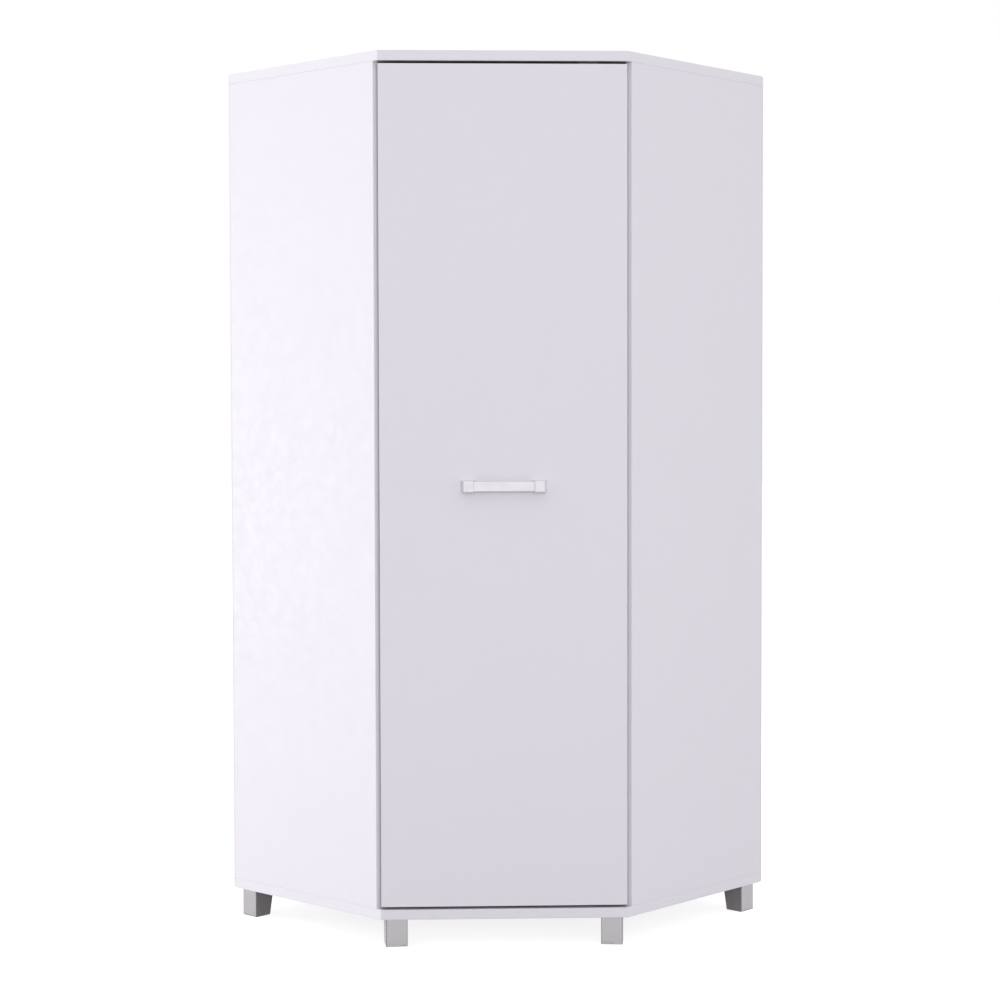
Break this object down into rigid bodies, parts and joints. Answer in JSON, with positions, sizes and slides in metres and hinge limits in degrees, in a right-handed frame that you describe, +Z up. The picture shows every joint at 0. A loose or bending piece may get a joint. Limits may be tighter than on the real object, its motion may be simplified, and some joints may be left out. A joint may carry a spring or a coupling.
{
  "type": "corner wardrobe",
  "caption": "Five-sided white corner wardrobe on tapered silver feet, with a full-height hinged front door, a level strap handle, a shelf and a hanging rail.",
  "frame": {"origin": "on the floor, under the middle of the box that holds the whole wardrobe with its handle", "axes": "+Z up; the door faces -Y; the rear corner points to +Y and the two backs stand at 45 degrees to X"},
  "size_m": [1.2304, 0.9896, 1.935],
  "materials": {
    "white_board": "white melamine-faced chipboard with fine grain and matching edge strip",
    "white_door": "white melamine-faced chipboard, satin",
    "hardboard": "raw hardboard outside, white lacquer inside",
    "silver_plastic": "dark moulded plastic, silver-coated on the outer face",
    "satin_handle": "satin silver finish",
    "zinc_steel": "zinc-plated steel",
    "chrome_rail": "chromed tube",
    "beech": "fluted beech",
    "grey_plastic": "dark grey moulded plastic",
    "ferrite": "dark sintered magnet"
  },
  "bodies": {
    "carcase": {"top_board": "white_board", "bottom_board": "white_board", "left_side_panel": "white_board", "right_side_panel": "white_board", "left_back_panel": "hardboard", "right_back_panel": "hardboard", "rear_post_left": "white_board", "rear_post_right": "white_board", "shelf": "white_board", "foot_front_left": "silver_plastic", "foot_front_right": "silver_plastic", "foot_left": "silver_plastic", "foot_right": "silver_plastic", "foot_rear": "silver_plastic", "foot_screws": "zinc_steel", "cam_locks": "zinc_steel", "cam_bolts": "zinc_steel", "wooden_dowels": "beech", "back_panel_nails": "zinc_steel", "post_screws": "zinc_steel", "shelf_pins": "zinc_steel", "hanging_rail": "chrome_rail", "rail_end_caps": "grey_plastic", "rail_hanger_left": "zinc_steel", "rail_hanger_right": "zinc_steel", "hanger_screws": "zinc_steel", "wall_bracket_left": "zinc_steel", "wall_bracket_right": "zinc_steel", "bracket_screws": "zinc_steel", "hinge_arms": "zinc_steel", "hinge_plates": "zinc_steel", "hinge_plate_screws": "zinc_steel", "hinge_arm_screws": "zinc_steel", "magnetic_catch": "grey_plastic", "catch_magnet": "ferrite", "catch_screws": "zinc_steel"},
    "door": {"door": "white_door", "handle_grip": "satin_handle", "handle_post_left": "satin_handle", "handle_post_right": "satin_handle", "handle_screws": "zinc_steel", "hinge_cups": "zinc_steel", "hinge_pins": "zinc_steel", "hinge_cup_screws": "zinc_steel", "strike_plate": "zinc_steel", "strike_screws": "zinc_steel"}
  },
  "joints": [
    {"name": "door_swing", "type": "hinge", "parent": "carcase", "child": "door", "pos_m": [-0.2582, -0.45733, 0.9975], "axis": [0, 0, -1], "range_deg": [0, 100]}
  ]
}
